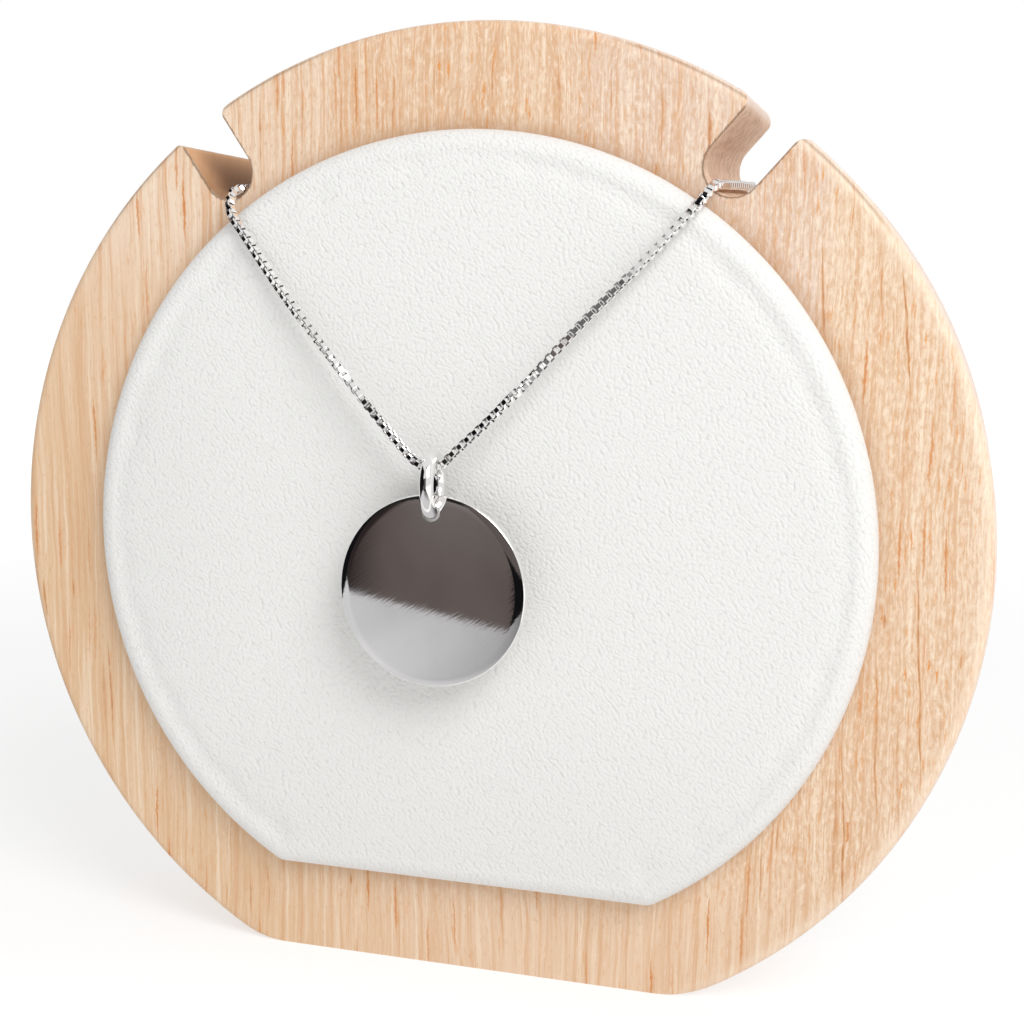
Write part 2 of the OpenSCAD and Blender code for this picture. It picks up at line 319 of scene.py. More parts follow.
class Wire:
    """A shader socket that Python expressions can be written on."""

    def __init__(self, paint, socket):
        self.paint, self.socket = paint, socket

    __add__ = __radd__ = maths("ADD")
    __mul__ = __rmul__ = maths("MULTIPLY")
    __sub__, __rsub__ = maths("SUBTRACT"), maths("SUBTRACT", True)
    __truediv__ = maths("DIVIDE")
    __pow__ = maths("POWER")
    __abs__ = maths("ABSOLUTE")
    lowest, highest = maths("MINIMUM"), maths("MAXIMUM")

    def step(self, low, high, most=1.0):
        """0 below low, most above high, smooth between; falls instead where low is the larger."""
        return self.paint.node(
            "ShaderNodeMapRange", {"interpolation_type": "SMOOTHSTEP"},
            {"Value": self, "From Min": low, "From Max": high, "To Max": most})


class NodeTree:
    """The nodes of a material or a world. Every node comes from node()."""

    def __init__(self, owner):
        owner.use_nodes = True
        self.tree = owner.node_tree

    def node(self, kind, settings=None, sockets=None, out=0):
        node = self.tree.nodes.new(kind)
        for key, value in (settings or {}).items():
            setattr(node, key, value)
        for key, value in (sockets or {}).items():
            if isinstance(value, Wire):
                self.tree.links.new(value.socket, node.inputs[key])
            else:
                node.inputs[key].default_value = value
        return Wire(self, node.outputs[out])

    def end(self, kind, wire):
        """Links a wire to the first socket of the tree's output node."""
        output = next(node for node in self.tree.nodes if node.type == kind)
        self.tree.links.new(wire.socket, output.inputs[0])


class Paint(NodeTree):
    """One material. Pattern sizes are in millimetres."""

    def __init__(self, name, **surface):
        self.material = bpy.data.materials.new(name)
        super().__init__(self.material)
        self.surface = self.tree.nodes["Principled BSDF"]
        for socket, value in surface.items():
            self.surface.inputs[socket.replace("_", " ")].default_value = value
        self.place = self.node("ShaderNodeTexCoord", out="Object")

    def point(self, u, v):
        return self.node("ShaderNodeCombineXYZ", {}, {0: u, 1: v})

    def parts(self, vector, count=3):
        return [self.node("ShaderNodeSeparateXYZ", {}, {0: vector}, out=axis) for axis in range(count)]

    def flat_noise(self, u, v, detail=2, roughness=0.5):
        """2D noise whose cells are 1 wide in u and in v."""
        return self.node("ShaderNodeTexNoise", {"noise_dimensions": "2D"},
                         {"Vector": self.point(u, v), "Scale": 1, "Detail": detail, "Roughness": roughness})

    def cells(self, u, v, out):
        """2D cells whose size is 1 in u and in v."""
        return self.node("ShaderNodeTexVoronoi", {"voronoi_dimensions": "2D"},
                         {"Vector": self.point(u, v), "Scale": 1}, out=out)

    def facing_y(self):
        """How squarely the surface faces forwards or backwards, 0 to 1."""
        normal = self.node("ShaderNodeTexCoord", out="Normal")
        return abs(self.parts(normal)[1])

    def axes(self):
        """X, Y and Z of the surface point, in millimetres."""
        return [part / MM for part in self.parts(self.place)]

    def mix(self, share, first, second):
        colours = {6: first, 7: second}
        for key, value in colours.items():
            if not isinstance(value, Wire):
                colours[key] = (*value[:3], 1)
        return self.node("ShaderNodeMix", {"data_type": "RGBA"}, {0: share, **colours}, out=2)

    def bump(self, height, distance, strength=1.0):
        return self.node("ShaderNodeBump", {},
                         {"Height": height, "Distance": distance * MM, "Strength": strength})

    def feed(self, **sockets):
        for key, wire in sockets.items():
            self.tree.links.new(wire.socket, self.surface.inputs[key.replace("_", " ")])
        return self.material


def wood_paint():
    """Planed softwood with upright grain, fine orange flecks, and edges singed by the saw."""
    colours = bpy.context.scene.necklace_colours
    paint = Paint("planed_softwood", IOR=1.45, Specular_IOR_Level=0.25)
    x, y, z = paint.axes()
    sway = paint.flat_noise(x * 0.03, z * 0.012, 1) - 0.5
    wiggle = paint.flat_noise(x * 0.3, z * 0.1, 2) - 0.5
    rag = paint.flat_noise(x * 2.6, z * 1.1, 2) - 0.5
    across = x + 0.4 * y + 4 * sway + 0.7 * wiggle

    def flecks(spacing, pitch, width, share, seed):
        """Tapered upright flecks with a soft halo, one in some cells of a stretched pattern."""
        u, v = across / spacing + seed, z / pitch
        cell = paint.cells(u, v, "Position")
        middle = paint.parts(cell, 2)
        dx = abs(u - middle[0] + rag * (0.4 / spacing)) * (spacing / width)
        dz = (v - middle[1]) * 2.3
        lot = paint.node("ShaderNodeTexWhiteNoise", {"noise_dimensions": "2D"}, {"Vector": cell})
        chosen = lot.step(1 - share, 1)
        return (dx + dz * dz).step(1, 0.2) * chosen, (dx * 0.22 + dz * dz).step(1, 0) * chosen

    # The fine marks are fainter low down and at the left.
    calm = 0.45 + 0.55 * z.step(4, 26) * x.step(-50, 0)
    cluster = paint.flat_noise(across * 0.085, z * 0.03 + 5, 2).step(0.34, 0.64)
    small, _ = flecks(spacing=1.2, pitch=3.6, width=0.17, share=0.85, seed=3)
    small = small * (0.3 + 0.7 * cluster) * calm
    large, halo = flecks(spacing=3.8, pitch=13, width=0.22, share=0.75, seed=11)
    bands = paint.flat_noise(across * 0.16, z * 0.007, 3, 0.6)
    stripes = paint.flat_noise(across * 1.1, z * 0.022, 3, 0.7)
    curl = 0.5 + calm * (paint.flat_noise(x * 2.8 + 6 * wiggle, z * 0.8, 3, 0.6) - 0.5)
    fibre = 0.5 + calm * (paint.flat_noise(across * 4.2, z * 0.16 + y * 0.2, 4, 0.7) - 0.5)

    ripple = x + 0.8 * wiggle + 0.12 * rag
    bold, glow = None, None
    for place, top, bottom, width, strength, lean in GRAIN_LINES:
        middle, half = (top + bottom) / 2, (top - bottom) / 2
        dx = abs(ripple + lean * z - (place + lean * middle)) / (0.55 * width)
        dz = (z - middle) / half
        taper = dz * dz
        line = (dx + taper).step(1, 0.3, strength)
        around = (dx * 0.3 + taper).step(1, 0, strength)
        bold = line if bold is None else bold.highest(line)
        glow = around if glow is None else glow.highest(around)
    beads = paint.flat_noise(x * 0.9, z * 0.45, 2).step(0.3, 0.6)
    near_front = y.step(BOARD_FRONT_Y + 3, BOARD_FRONT_Y + 1)

    from_middle = (x * x + (z - BOARD_CENTRE_Z) * (z - BOARD_CENTRE_Z)) ** 0.5
    tan = (x + 0.4 * z + 30 * sway).step(10, -50)
    high = z.step(85, 105)
    threads = paint.flat_noise(across * 1.9, z * 0.02 + 3, 2).step(0.58, 0.66) * high * x.step(5, -20)
    blush = x.step(8, 22) * (x + 4 * wiggle).step(47, 43) * z.step(45, 75)
    honey = (x + 4 * wiggle).step(43, 46) * z.step(35, 70)
    colour = paint.mix(bands.step(0.35, 0.7) * 0.75, colours.wood_pale, colours.wood_deep)
    colour = paint.mix(tan * 0.45, colour, (0.68, 0.44, 0.23))
    colour = paint.mix(blush * 0.55, colour, (0.73, 0.63, 0.59))
    colour = paint.mix(high * x.step(-45, -20) * 0.3, colour, (0.62, 0.41, 0.27))
    colour = paint.mix(high * x.step(-8, -26) * 0.5, colour, (0.84, 0.71, 0.58))
    colour = paint.mix(honey * 0.4, colour, (0.8, 0.65, 0.49))
    colour = paint.mix(stripes.step(0.5, 0.68) * 0.65, colour, (0.66, 0.38, 0.21))
    colour = paint.mix(stripes.step(0.48, 0.28) * 0.55, colour, (0.88, 0.73, 0.57))
    colour = paint.mix(fibre.step(0.5, 0.68) * 0.55, colour, (0.62, 0.38, 0.22))
    colour = paint.mix(fibre.step(0.5, 0.3) * 0.4, colour, (0.88, 0.73, 0.57))
    colour = paint.mix(curl.step(0.53, 0.64) * 0.5, colour, (0.62, 0.36, 0.19))
    colour = paint.mix(curl.step(0.45, 0.32) * 0.4, colour, (0.92, 0.79, 0.64))
    colour = paint.mix(threads * 0.45, colour, (0.66, 0.34, 0.15))
    colour = paint.mix(halo * 0.2, colour, (0.68, 0.38, 0.19))
    colour = paint.mix(small, colour, (0.7, 0.31, 0.1))
    colour = paint.mix(large * 0.95, colour, (0.62, 0.24, 0.07))
    colour = paint.mix(glow * near_front * 0.22, colour, (0.74, 0.4, 0.17))
    colour = paint.mix(bold * near_front * (0.4 + 0.45 * beads), colour, (0.5, 0.2, 0.06))

    # Painted shadow of the pad: brownish shade on the wood below and to the left of its foot.
    foot = (from_middle - PAD_R).highest(PAD_BOTTOM_Z - z)
    pad_shadow = foot.step(2.6, 0) * (x - 0.8 * z).step(30, -20)
    colour = paint.mix(pad_shadow * near_front * 0.4, colour, (0.5, 0.3, 0.18))

    front = paint.facing_y()
    # A paler band along the board's rim at the right: painted highlight.
    edge = from_middle.step(BOARD_R - 2.5, BOARD_R - 0.7) * x.step(20, 45)
    colour = paint.mix(edge * 0.35, colour, (0.9, 0.78, 0.64))
    # The board's outer side: lighter at the right as a painted highlight, darker at the left as painted
    # shade.
    side = front.step(0.7, 0.3) * from_middle.step(BOARD_R - 2, BOARD_R - 0.5)
    colour = paint.mix(side * x.step(-30, 0) * 0.7, colour, (0.78, 0.66, 0.59))
    colour = paint.mix(side * x.step(0, -30) * 0.6, colour, (0.42, 0.27, 0.17))

    behind = y.step(BOARD_FRONT_Y + 0.15, BOARD_FRONT_Y + 0.6)
    inside = from_middle.step(BOARD_R - 0.6, BOARD_R - 1.4)
    sawn = front.step(0.75, 0.35) * behind * inside * z.step(90, 96)
    saw_marks = paint.flat_noise(y * 0.9 + 3 * rag, z * 0.5 + x * 0.5, 3, 0.6)
    pale_cut = paint.mix(saw_marks.step(0.3, 0.7), (0.85, 0.63, 0.48), (0.64, 0.44, 0.31))
    # On the left notch's walls the sawn colour darkens towards the slot: painted shade in the recess.
    shaded_cut = paint.mix(x.step(-41, -32), (0.8, 0.44, 0.22), (0.19, 0.072, 0.024))
    sawn_colour = paint.mix(x.step(5, -5), pale_cut, shaded_cut)
    colour = paint.mix(sawn * 0.9, colour, sawn_colour)

    def from_notch(side):
        """How far a front point lies from the edge of the notch on one side, in millimetres."""
        slope, width = NOTCHES[side]
        outwards, up = side * x - NOTCH_X, z - NOTCH_Z
        along = (outwards * cos(radians(slope)) + up * sin(radians(slope))).lowest(0)
        over = up * cos(radians(slope)) - outwards * sin(radians(slope))
        return (along * along + over * over) ** 0.5 - width / 2

    singed = from_notch(1).lowest(from_notch(-1)) + 0.35 * rag
    singed = singed.step(0.32, 0.08) * y.step(BOARD_FRONT_Y + 0.4, BOARD_FRONT_Y + 0.2)
    singed = singed * from_middle.step(BOARD_R - 0.5, BOARD_R - 1.5) * (0.45 + saw_marks).lowest(1)
    rim = from_middle.step(BOARD_R - 0.9, BOARD_R - 0.4) * z.step(96, 102)
    rim = rim * abs(x).step(16, 24) * front.step(0.5, 0.8)
    colour = paint.mix(singed.highest(rim * 0.7) * 0.8, colour, (0.2, 0.11, 0.06))
    bump = paint.bump(fibre + 1.2 * curl, 0.02, 0.8)
    return paint.feed(Base_Color=colour, Roughness=0.5 + 0.12 * fibre, Normal=bump)


def leather_paint():
    """White leatherette embossed with small slanting pebbles."""
    colours = bpy.context.scene.necklace_colours
    paint = Paint("white_leatherette", IOR=1.45, Specular_IOR_Level=0.22)
    x, y, z = paint.axes()
    drift = paint.flat_noise(x * 0.3, z * 0.3, 1) - 0.5
    along = 0.66 * x - 0.75 * z + 0.6 * drift
    over = 0.75 * x + 0.66 * z - 0.8 * drift + 0.6 * y
    soft = paint.flat_noise(along * 2.4, over * 3.6, 3, 0.6)
    pebbles = paint.cells(along * 1.9 + 0.4 * soft, over * 2.5 + 0.4 * soft, "Distance")
    height = 0.5 * soft - pebbles * pebbles
    # Painted shade: the pad is darker towards the bottom and at the lower left, away from the light.
    painted_shade = z.step(45, 14).highest(x.step(-25, -50) * z.step(95, 70)) * 0.35
    # Darker where the pebbles meet, in the creases: painted shade.
    tone = paint.mix(pebbles.step(0.4, 0.75) * 0.14, colours.leather, (0.66, 0.65, 0.63))
    tone = paint.mix(painted_shade, tone, (0.7, 0.695, 0.68))
    return paint.feed(Base_Color=tone, Roughness=0.5 + 0.12 * soft, Normal=paint.bump(height, 0.09, 1))


def silver_paint(name, roughness, haze, scratch, shaded_by=None):
    """Polished silver with faint smudges and slanting polishing marks, and painted shade where an attribute
    says.
    """
    colours = bpy.context.scene.necklace_colours
    paint = Paint(name, Metallic=1.0)
    x, y, z = paint.axes()
    smudge = paint.flat_noise(x * 0.28, z * 0.2 + y * 0.2, 3, 0.6)
    hairs = paint.flat_noise((0.6 * x - 0.8 * z + y) * 3.4, (0.8 * x + 0.6 * z) * 0.45, 2, 0.6)
    colour = paint.mix(smudge.step(0.4, 0.75) * 0.25, colours.silver, (0.85, 0.83, 0.82))
    if shaded_by:
        # Painted shade: faces that the attribute marks, on the chain the links' inner faces, are darkened.
        share = paint.node("ShaderNodeAttribute", {"attribute_name": shaded_by}, out="Fac")
        colour = paint.mix(share * 0.9, colour, (0.3, 0.27, 0.265))
    return paint.feed(Base_Color=colour, Roughness=roughness + haze * smudge.step(0.4, 0.8),
                      Normal=paint.bump(hairs, scratch, 1))


class NECKLACE_OT_camera(bpy.types.Operator):
    """Sets up the camera in front of the board, a little to its right and above"""

    bl_idname = "necklace.camera"
    bl_label = "Add camera"

    def execute(self, context):
        data = bpy.data.cameras.new("camera")
        data.sensor_width, data.lens = 36, CAMERA_LENS
        data.clip_start, data.clip_end = 0.01, 20
        data.dof.use_dof = False
        camera = bpy.data.objects.new("camera", data)
        context.scene.collection.objects.link(camera)
        context.scene.camera = camera
        camera.matrix_world = (
            Matrix.Translation(CAMERA * MM)
            @ Matrix.Rotation(radians(CAMERA_LEFT), 4, "Z")
            @ Matrix.Rotation(pi / 2 - radians(CAMERA_DOWN), 4, "X")
            @ Matrix.Rotation(radians(CAMERA_ROLL), 4, "Z"))
        return {"FINISHED"}


class NECKLACE_OT_board(bpy.types.Operator):
    """Adds the round wooden board, with sanded edges round its notches"""

    bl_idname = "necklace.board"
    bl_label = "Add board"

    def execute(self, context):
        sizes = context.scene.necklace_sizes
        board = merged_copy("stand_board", "round_board")
        with editing(board):
            bpy.ops.mesh.dissolve_limited(angle_limit=radians(0.4))
        with editing(board, edges=sharper_than(40)):
            bpy.ops.mesh.bevel(offset=sizes.board_edge, segments=3, profile=0.5, clamp_overlap=True)
        with editing(board):
            bpy.ops.mesh.dissolve_degenerate(threshold=TINY * MM)
        settle(board, 30)
        modify(board, "WEIGHTED_NORMAL", keep_sharp=True, weight=80, thresh=0)
        finish_piece(board, "stand", "board_wood", wood_paint(), "stand_board")
        return {"FINISHED"}


class NECKLACE_OT_pad(bpy.types.Operator):
    """Adds the padded disc in white leatherette on the board's front"""

    bl_idname = "necklace.pad"
    bl_label = "Add pad"

    def add_form(self):
        """The stuffed disc before the cover swells: cut flat at the bottom, rounded in front."""
        form = add(bpy.ops.mesh.primitive_cylinder_add, "leather_pad", vertices=288,
                   radius=PAD_R * MM, depth=(PAD_BACK_Y - PAD_FRONT_Y) * MM, rotation=(pi / 2, 0, 0),
                   location=(0, (PAD_FRONT_Y + PAD_BACK_Y) / 2 * MM, BOARD_CENTRE_Z * MM))
        bpy.ops.object.transform_apply(location=True, rotation=True, scale=True)
        with editing(form):
            bpy.ops.mesh.bisect(plane_co=(0, 0, PAD_BOTTOM_Z * MM), plane_no=(0, 0, -1),
                                clear_outer=True, use_fill=True)

        def at_front_edge(edge):
            in_front = all(vertex.co.y < (PAD_FRONT_Y + TINY) * MM for vertex in edge.verts)
            return in_front and sharper_than(60)(edge)
        with editing(form, edges=at_front_edge):
            bpy.ops.mesh.bevel(offset=PAD_EDGE_R * MM, segments=10, profile=0.5)
        with editing(form, edges=sharper_than(75)):
            bpy.ops.mesh.bevel(offset=PAD_BACK_EDGE_R * MM, segments=5, profile=0.5)
        return form

    def swell(self, context, pad, most):
        """Presses the cover out with cloth under pressure, held at the back, and no further than most."""
        held = pad.vertex_groups.new(name="held")
        held.add([v.index for v in pad.data.vertices if v.co.y / MM > PAD_HELD_Y], 1.0, "REPLACE")
        before = [vertex.co.copy() for vertex in pad.data.vertices]
        cloth = pad.modifiers.new("Swelling", "CLOTH")
        cloth.settings.quality = SWELL_QUALITY
        cloth.settings.mass = SWELL_MASS
        cloth.settings.use_pressure = True
        cloth.settings.uniform_pressure_force = SWELL_PRESSURE
        cloth.settings.effector_weights.gravity = 0
        cloth.settings.vertex_group_mass = "held"
        cloth.collision_settings.use_collision = False
        for moment in range(1, SWELL_FRAMES + 1):
            context.scene.frame_set(moment)
        make_active(pad)
        bpy.ops.object.modifier_apply(modifier=cloth.name)
        for vertex, place in zip(pad.data.vertices, before):
            moved = (vertex.co - place) * Vector((SWELL_SIDEWAYS, 1, SWELL_SIDEWAYS))
            if moved.length > most:
                moved *= most / moved.length
            vertex.co = place + moved
        pad.vertex_groups.clear()
        context.scene.frame_set(1)

    def even_rim(self, pad, form):
        """Lays the cover's rim back on the form, so that its outline runs evenly."""
        rim = pad.vertex_groups.new(name="rim")
        for vertex in pad.data.vertices:
            x, _, z = vertex.co / MM
            from_middle = (x * x + (z - BOARD_CENTRE_Z) ** 2) ** 0.5
            inwards = min(PAD_R - from_middle, z - PAD_BOTTOM_Z)
            if inwards < PAD_RIM_WIDTH:
                hold = min(1, (PAD_RIM_WIDTH - inwards) / PAD_RIM_BLEND)
                rim.add([vertex.index], hold, "REPLACE")
        modify(pad, "SHRINKWRAP", target=form, wrap_mode="ABOVE_SURFACE",
               offset=-PAD_RIM_SPARE * MM, vertex_group=rim.name)
        pad.vertex_groups.clear()

    def execute(self, context):
        sizes = context.scene.necklace_sizes
        pad = self.add_form()
        form = pad.copy()
        form.data = pad.data.copy()
        context.scene.collection.objects.link(form)
        modify(pad, "REMESH", mode="VOXEL", voxel_size=sizes.pad_voxel)
        modify(pad, "SHRINKWRAP", target=form, wrap_mode="ABOVE_SURFACE", offset=-PAD_SPARE * MM)
        modify(pad, "SMOOTH", factor=0.5, iterations=2)
        self.swell(context, pad, sizes.pad_swell)
        modify(pad, "SMOOTH", factor=0.5, iterations=5)
        modify(pad, "SUBSURF", levels=1, render_levels=1)
        self.even_rim(pad, form)
        bpy.data.objects.remove(form)
        settle(pad, 180)
        finish_piece(pad, "stand", "pad_cover", leather_paint(), "pad")
        return {"FINISHED"}


def curve_points(route, steps):
    """Close points on a Catmull-Rom curve through the route."""
    points = []
    for i in range(len(route) - 1):
        a, b = route[max(i - 1, 0)], route[i]
        c, d = route[i + 1], route[min(i + 2, len(route) - 1)]
        for k in range(steps):
            t = k / steps
            points.append(0.5 * (2 * b + (c - a) * t + (2 * a - 5 * b + 4 * c - d) * t * t
                                 + (3 * b - a - 3 * c + d) * t ** 3))
    return points + [route[-1]]


class ChainLine:
    """The chain's centre line, with a direction across it that turns as CHAIN_FACING says."""

    STEPS = 24

    def __init__(self):
        route = [Vector((x, y + BOARD_FRONT_Y, z)) * MM for x, y, z in CHAIN_ROUTE]
        self.points = curve_points(route, self.STEPS)
        last = len(self.points) - 1
        self.along = [(self.points[min(i + 1, last)] - self.points[max(i - 1, 0)]).normalized()
                      for i in range(last + 1)]
        self.length = [0.0]
        for a, b in zip(self.points, self.points[1:]):
            self.length.append(self.length[-1] + (b - a).length)
        across = [self.square_to(UP, self.along[0])]
        for direction in self.along[1:]:
            across.append(self.square_to(across[-1], direction))
        turns = []
        for point, facing, extra in CHAIN_FACING:
            i = round(point * self.STEPS)
            wanted = self.square_to(facing, self.along[i])
            side = self.along[i].cross(across[i])
            turn = atan2(wanted.dot(side), wanted.dot(across[i])) + radians(extra)
            if turns:
                turn += round((turns[-1][1] - turn) / (pi / 2)) * (pi / 2)
            turns.append((self.length[i], turn))
        self.across = [Matrix.Rotation(self.between(turns, s), 3, t) @ a
                       for s, t, a in zip(self.length, self.along, across)]

    @staticmethod
    def square_to(direction, along):
        """The part of a direction that is square to the chain."""
        return (direction - direction.dot(along) * along).normalized()

    @staticmethod
    def between(pairs, at):
        """The value at a length, from the pairs of length and value on both sides of it."""
        for (s0, v0), (s1, v1) in zip(pairs, pairs[1:]):
            if at <= s1:
                share = (at - s0) / (s1 - s0)
                return v0 + (v1 - v0) * share
        return pairs[-1][1]


class NECKLACE_OT_chain(bpy.types.Operator):
    """Adds the box chain, link by link, along its route over the board"""

    bl_idname = "necklace.chain"
    bl_label = "Add chain"

    def add_link(self, sizes):
        """A flat strip bent into a square: X is along the chain, Z is the way through it."""
        link = add(bpy.ops.mesh.primitive_cube_add, "link", size=1)
        link.scale = (sizes.link_width, sizes.link_width, sizes.link_strip)
        make_active(link)
        bpy.ops.object.transform_apply(scale=True)
        with editing(link, faces=lambda face: abs(face.normal.z) > 0.5):
            bpy.ops.mesh.delete(type="ONLY_FACE")
        with editing(link, edges=lambda edge: not edge.is_boundary):
            bpy.ops.mesh.bevel(offset=sizes.link_bend, segments=1)
        modify(link, "SOLIDIFY", thickness=sizes.link_wall, offset=-1, use_even_offset=True)
        half = sizes.link_strip / 2

        def at_rim(edge):
            return sharper_than(60)(edge) and all(
                abs(abs(vertex.co.z) - half) < TINY * MM for vertex in edge.verts)
        with editing(link, edges=at_rim):
            bpy.ops.mesh.bevel(offset=LINK_ROUNDING * sizes.link_wall, segments=1)
        # The inner faces are marked, for the painted shade inside each link.
        inner = link.data.attributes.new("inner", "FLOAT", "FACE")
        for face, value in zip(link.data.polygons, inner.data):
            value.value = float(face.normal.dot(face.center) < 0)
        return link

    def execute(self, context):
        sizes = context.scene.necklace_sizes
        line = ChainLine()
        link = self.add_link(sizes)
        pitch = sizes.link_width - 2 * sizes.link_wall
        overhang = CHAIN_OVERHANG * MM
        total = line.length[-1] + 2 * overhang
        count = round(total / pitch)
        # Each link is turned by a quarter from the one before, and the last lies flat like the first.
        faces_up = abs(line.across[-1].z) > cos(pi / 4)
        if (count % 2 == 0) != faces_up:
            count += 1
        links, cursor = [], 0
        for i in range(count + 1):
            at = total * i / count - overhang
            while cursor < len(line.length) - 2 and line.length[cursor + 1] < at:
                cursor += 1
            span = line.length[cursor + 1] - line.length[cursor]
            share = (at - line.length[cursor]) / span
            place = line.points[cursor].lerp(line.points[cursor + 1], share)
            along = line.along[cursor].lerp(line.along[cursor + 1], min(max(share, 0), 1)).normalized()
            through = ChainLine.square_to(line.across[cursor], along)
            if i % 2:
                through = along.cross(through)
            turned = Matrix((along, through.cross(along), through)).transposed()
            copy = link.copy()
            copy.data = link.data.copy()
            copy.matrix_world = Matrix.Translation(place) @ turned.to_4x4()
            context.scene.collection.objects.link(copy)
            links.append(copy)
        bpy.data.objects.remove(link)
        chain = join(links, "box_chain")
        settle(chain, 20)
        silver = silver_paint("chain_silver", roughness=0.06, haze=0.04, scratch=0.0003, shaded_by="inner")
        finish_piece(chain, "stand", "chain_silver", silver, "chain")
        return {"FINISHED"}


class NECKLACE_OT_pendant(bpy.types.Operator):
    """Adds the thick bail ring and the polished medallion that hangs from it"""

    bl_idname = "necklace.pendant"
    bl_label = "Add pendant"

    def add_ring(self, sizes):
        ring = add(bpy.ops.mesh.primitive_torus_add, "thick_bail_ring",
                   major_segments=sizes.ring_segments, minor_segments=48,
                   major_radius=BAIL_R * MM, minor_radius=BAIL_WIRE_R * MM,
                   location=BAIL * MM, rotation=(0, pi / 2, radians(BAIL_TURN)))
        settle(ring, 180)
        return ring

    def add_medallion(self, sizes):
        """A disc whose polished faces fall away softly towards a rounded rim."""
        fall = sizes.medallion_rim
        disc = add(bpy.ops.mesh.primitive_cylinder_add, "polished_medallion", vertices=192,
                   radius=MEDALLION_R * MM, depth=MEDALLION_T * MM - 2 * fall,
                   location=MEDALLION * MM, rotation=(pi / 2, 0, 0))
        make_active(disc)
        bpy.ops.object.transform_apply(location=True, rotation=True, scale=True)

        def is_face(face):
            return abs(face.normal.y) > 0.99 and face.calc_area() > LEAST_FACE * MM * MM

        def fallen(step):
            """How far the face has fallen, so many steps in from the rim."""
            return fall * (1 - step / RIM_STEPS) ** RIM_CURVE

        for step in range(RIM_STEPS):
            with editing(disc, faces=is_face):
                bpy.ops.mesh.inset(thickness=RIM_WIDTH * MM / RIM_STEPS,
                                   depth=fallen(step) - fallen(step + 1))

        with editing(disc, edges=sharper_than(50)):
            bpy.ops.mesh.bevel(offset=RIM_ROUNDING * MM, segments=6, profile=0.5)
        cutter = add(bpy.ops.mesh.primitive_cylinder_add, "hole_cutter", vertices=96,
                     radius=HOLE_R * MM, depth=4 * MM,
                     location=(MEDALLION.x * MM, MEDALLION.y * MM, HOLE_Z * MM), rotation=(pi / 2, 0, 0))
        modify(disc, "BOOLEAN", operation="DIFFERENCE", object=cutter, solver="EXACT")
        bpy.data.objects.remove(cutter)
        hole = Vector((MEDALLION.x, MEDALLION.y, HOLE_Z)) * MM

        def at_hole(edge):
            return sharper_than(50)(edge) and all(
                (vertex.co - hole).xz.length < 1.05 * HOLE_R * MM for vertex in edge.verts)
        with editing(disc, edges=at_hole):
            bpy.ops.mesh.bevel(offset=HOLE_ROUNDING * MM, segments=3, profile=0.5)
        settle(disc, 40)
        modify(disc, "WEIGHTED_NORMAL", keep_sharp=True, weight=90, thresh=0)
        return disc

    def execute(self, context):
        sizes = context.scene.necklace_sizes
        ring_silver = silver_paint("ring_silver", roughness=0.06, haze=0.05, scratch=0.0003)
        finish_piece(self.add_ring(sizes), "pendant", "silver", ring_silver, "bail_ring")
        disc_silver = silver_paint("medallion_silver", roughness=0.03, haze=0.012, scratch=0.0012)
        finish_piece(self.add_medallion(sizes), "pendant", "silver", disc_silver, "medallion")
        return {"FINISHED"}


class NECKLACE_OT_clasp(bpy.types.Operator):
    """Adds the spring ring clasp and finishes the two small rings beside it"""

    bl_idname = "necklace.clasp"
    bl_label = "Add clasp"

    def execute(self, context):
        body = add(bpy.ops.mesh.primitive_torus_add, "clasp_body", major_segments=72, minor_segments=24,
                   major_radius=CLASP_R * MM, minor_radius=CLASP_TUBE_R * MM, location=CLASP * MM)
        eyelet = add(bpy.ops.mesh.primitive_torus_add, "eyelet", major_segments=48, minor_segments=20,
                     major_radius=EYELET_R * MM, minor_radius=EYELET_WIRE_R * MM,
                     location=(EYELET_X * MM, CLASP.y * MM, CLASP.z * MM))
        turn = radians(TRIGGER_TURN)
        outward = Vector((sin(-turn), -cos(turn), 0))
        trigger = add(bpy.ops.mesh.primitive_cylinder_add, "trigger", vertices=32,
                      radius=TRIGGER_R * MM, depth=TRIGGER_LENGTH * MM, rotation=(pi / 2, 0, turn),
                      location=(CLASP + outward * (CLASP_R + TRIGGER_OUT)) * MM)
        with editing(trigger, edges=sharper_than(60)):
            bpy.ops.mesh.bevel(offset=TRIGGER_ROUNDING * MM, segments=3, profile=0.5)
        clasp = join([body, eyelet, trigger], "spring_ring_clasp")
        settle(clasp, 50)
        silver = silver_paint("clasp_silver", roughness=0.09, haze=0.06, scratch=0.0004)
        finish_piece(clasp, "stand", "silver", silver, "clasp")
        for node in ("clasp_link", "end_ring"):
            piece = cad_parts[node]
            for slot in piece.material_slots:
                slot.material = silver
        return {"FINISHED"}


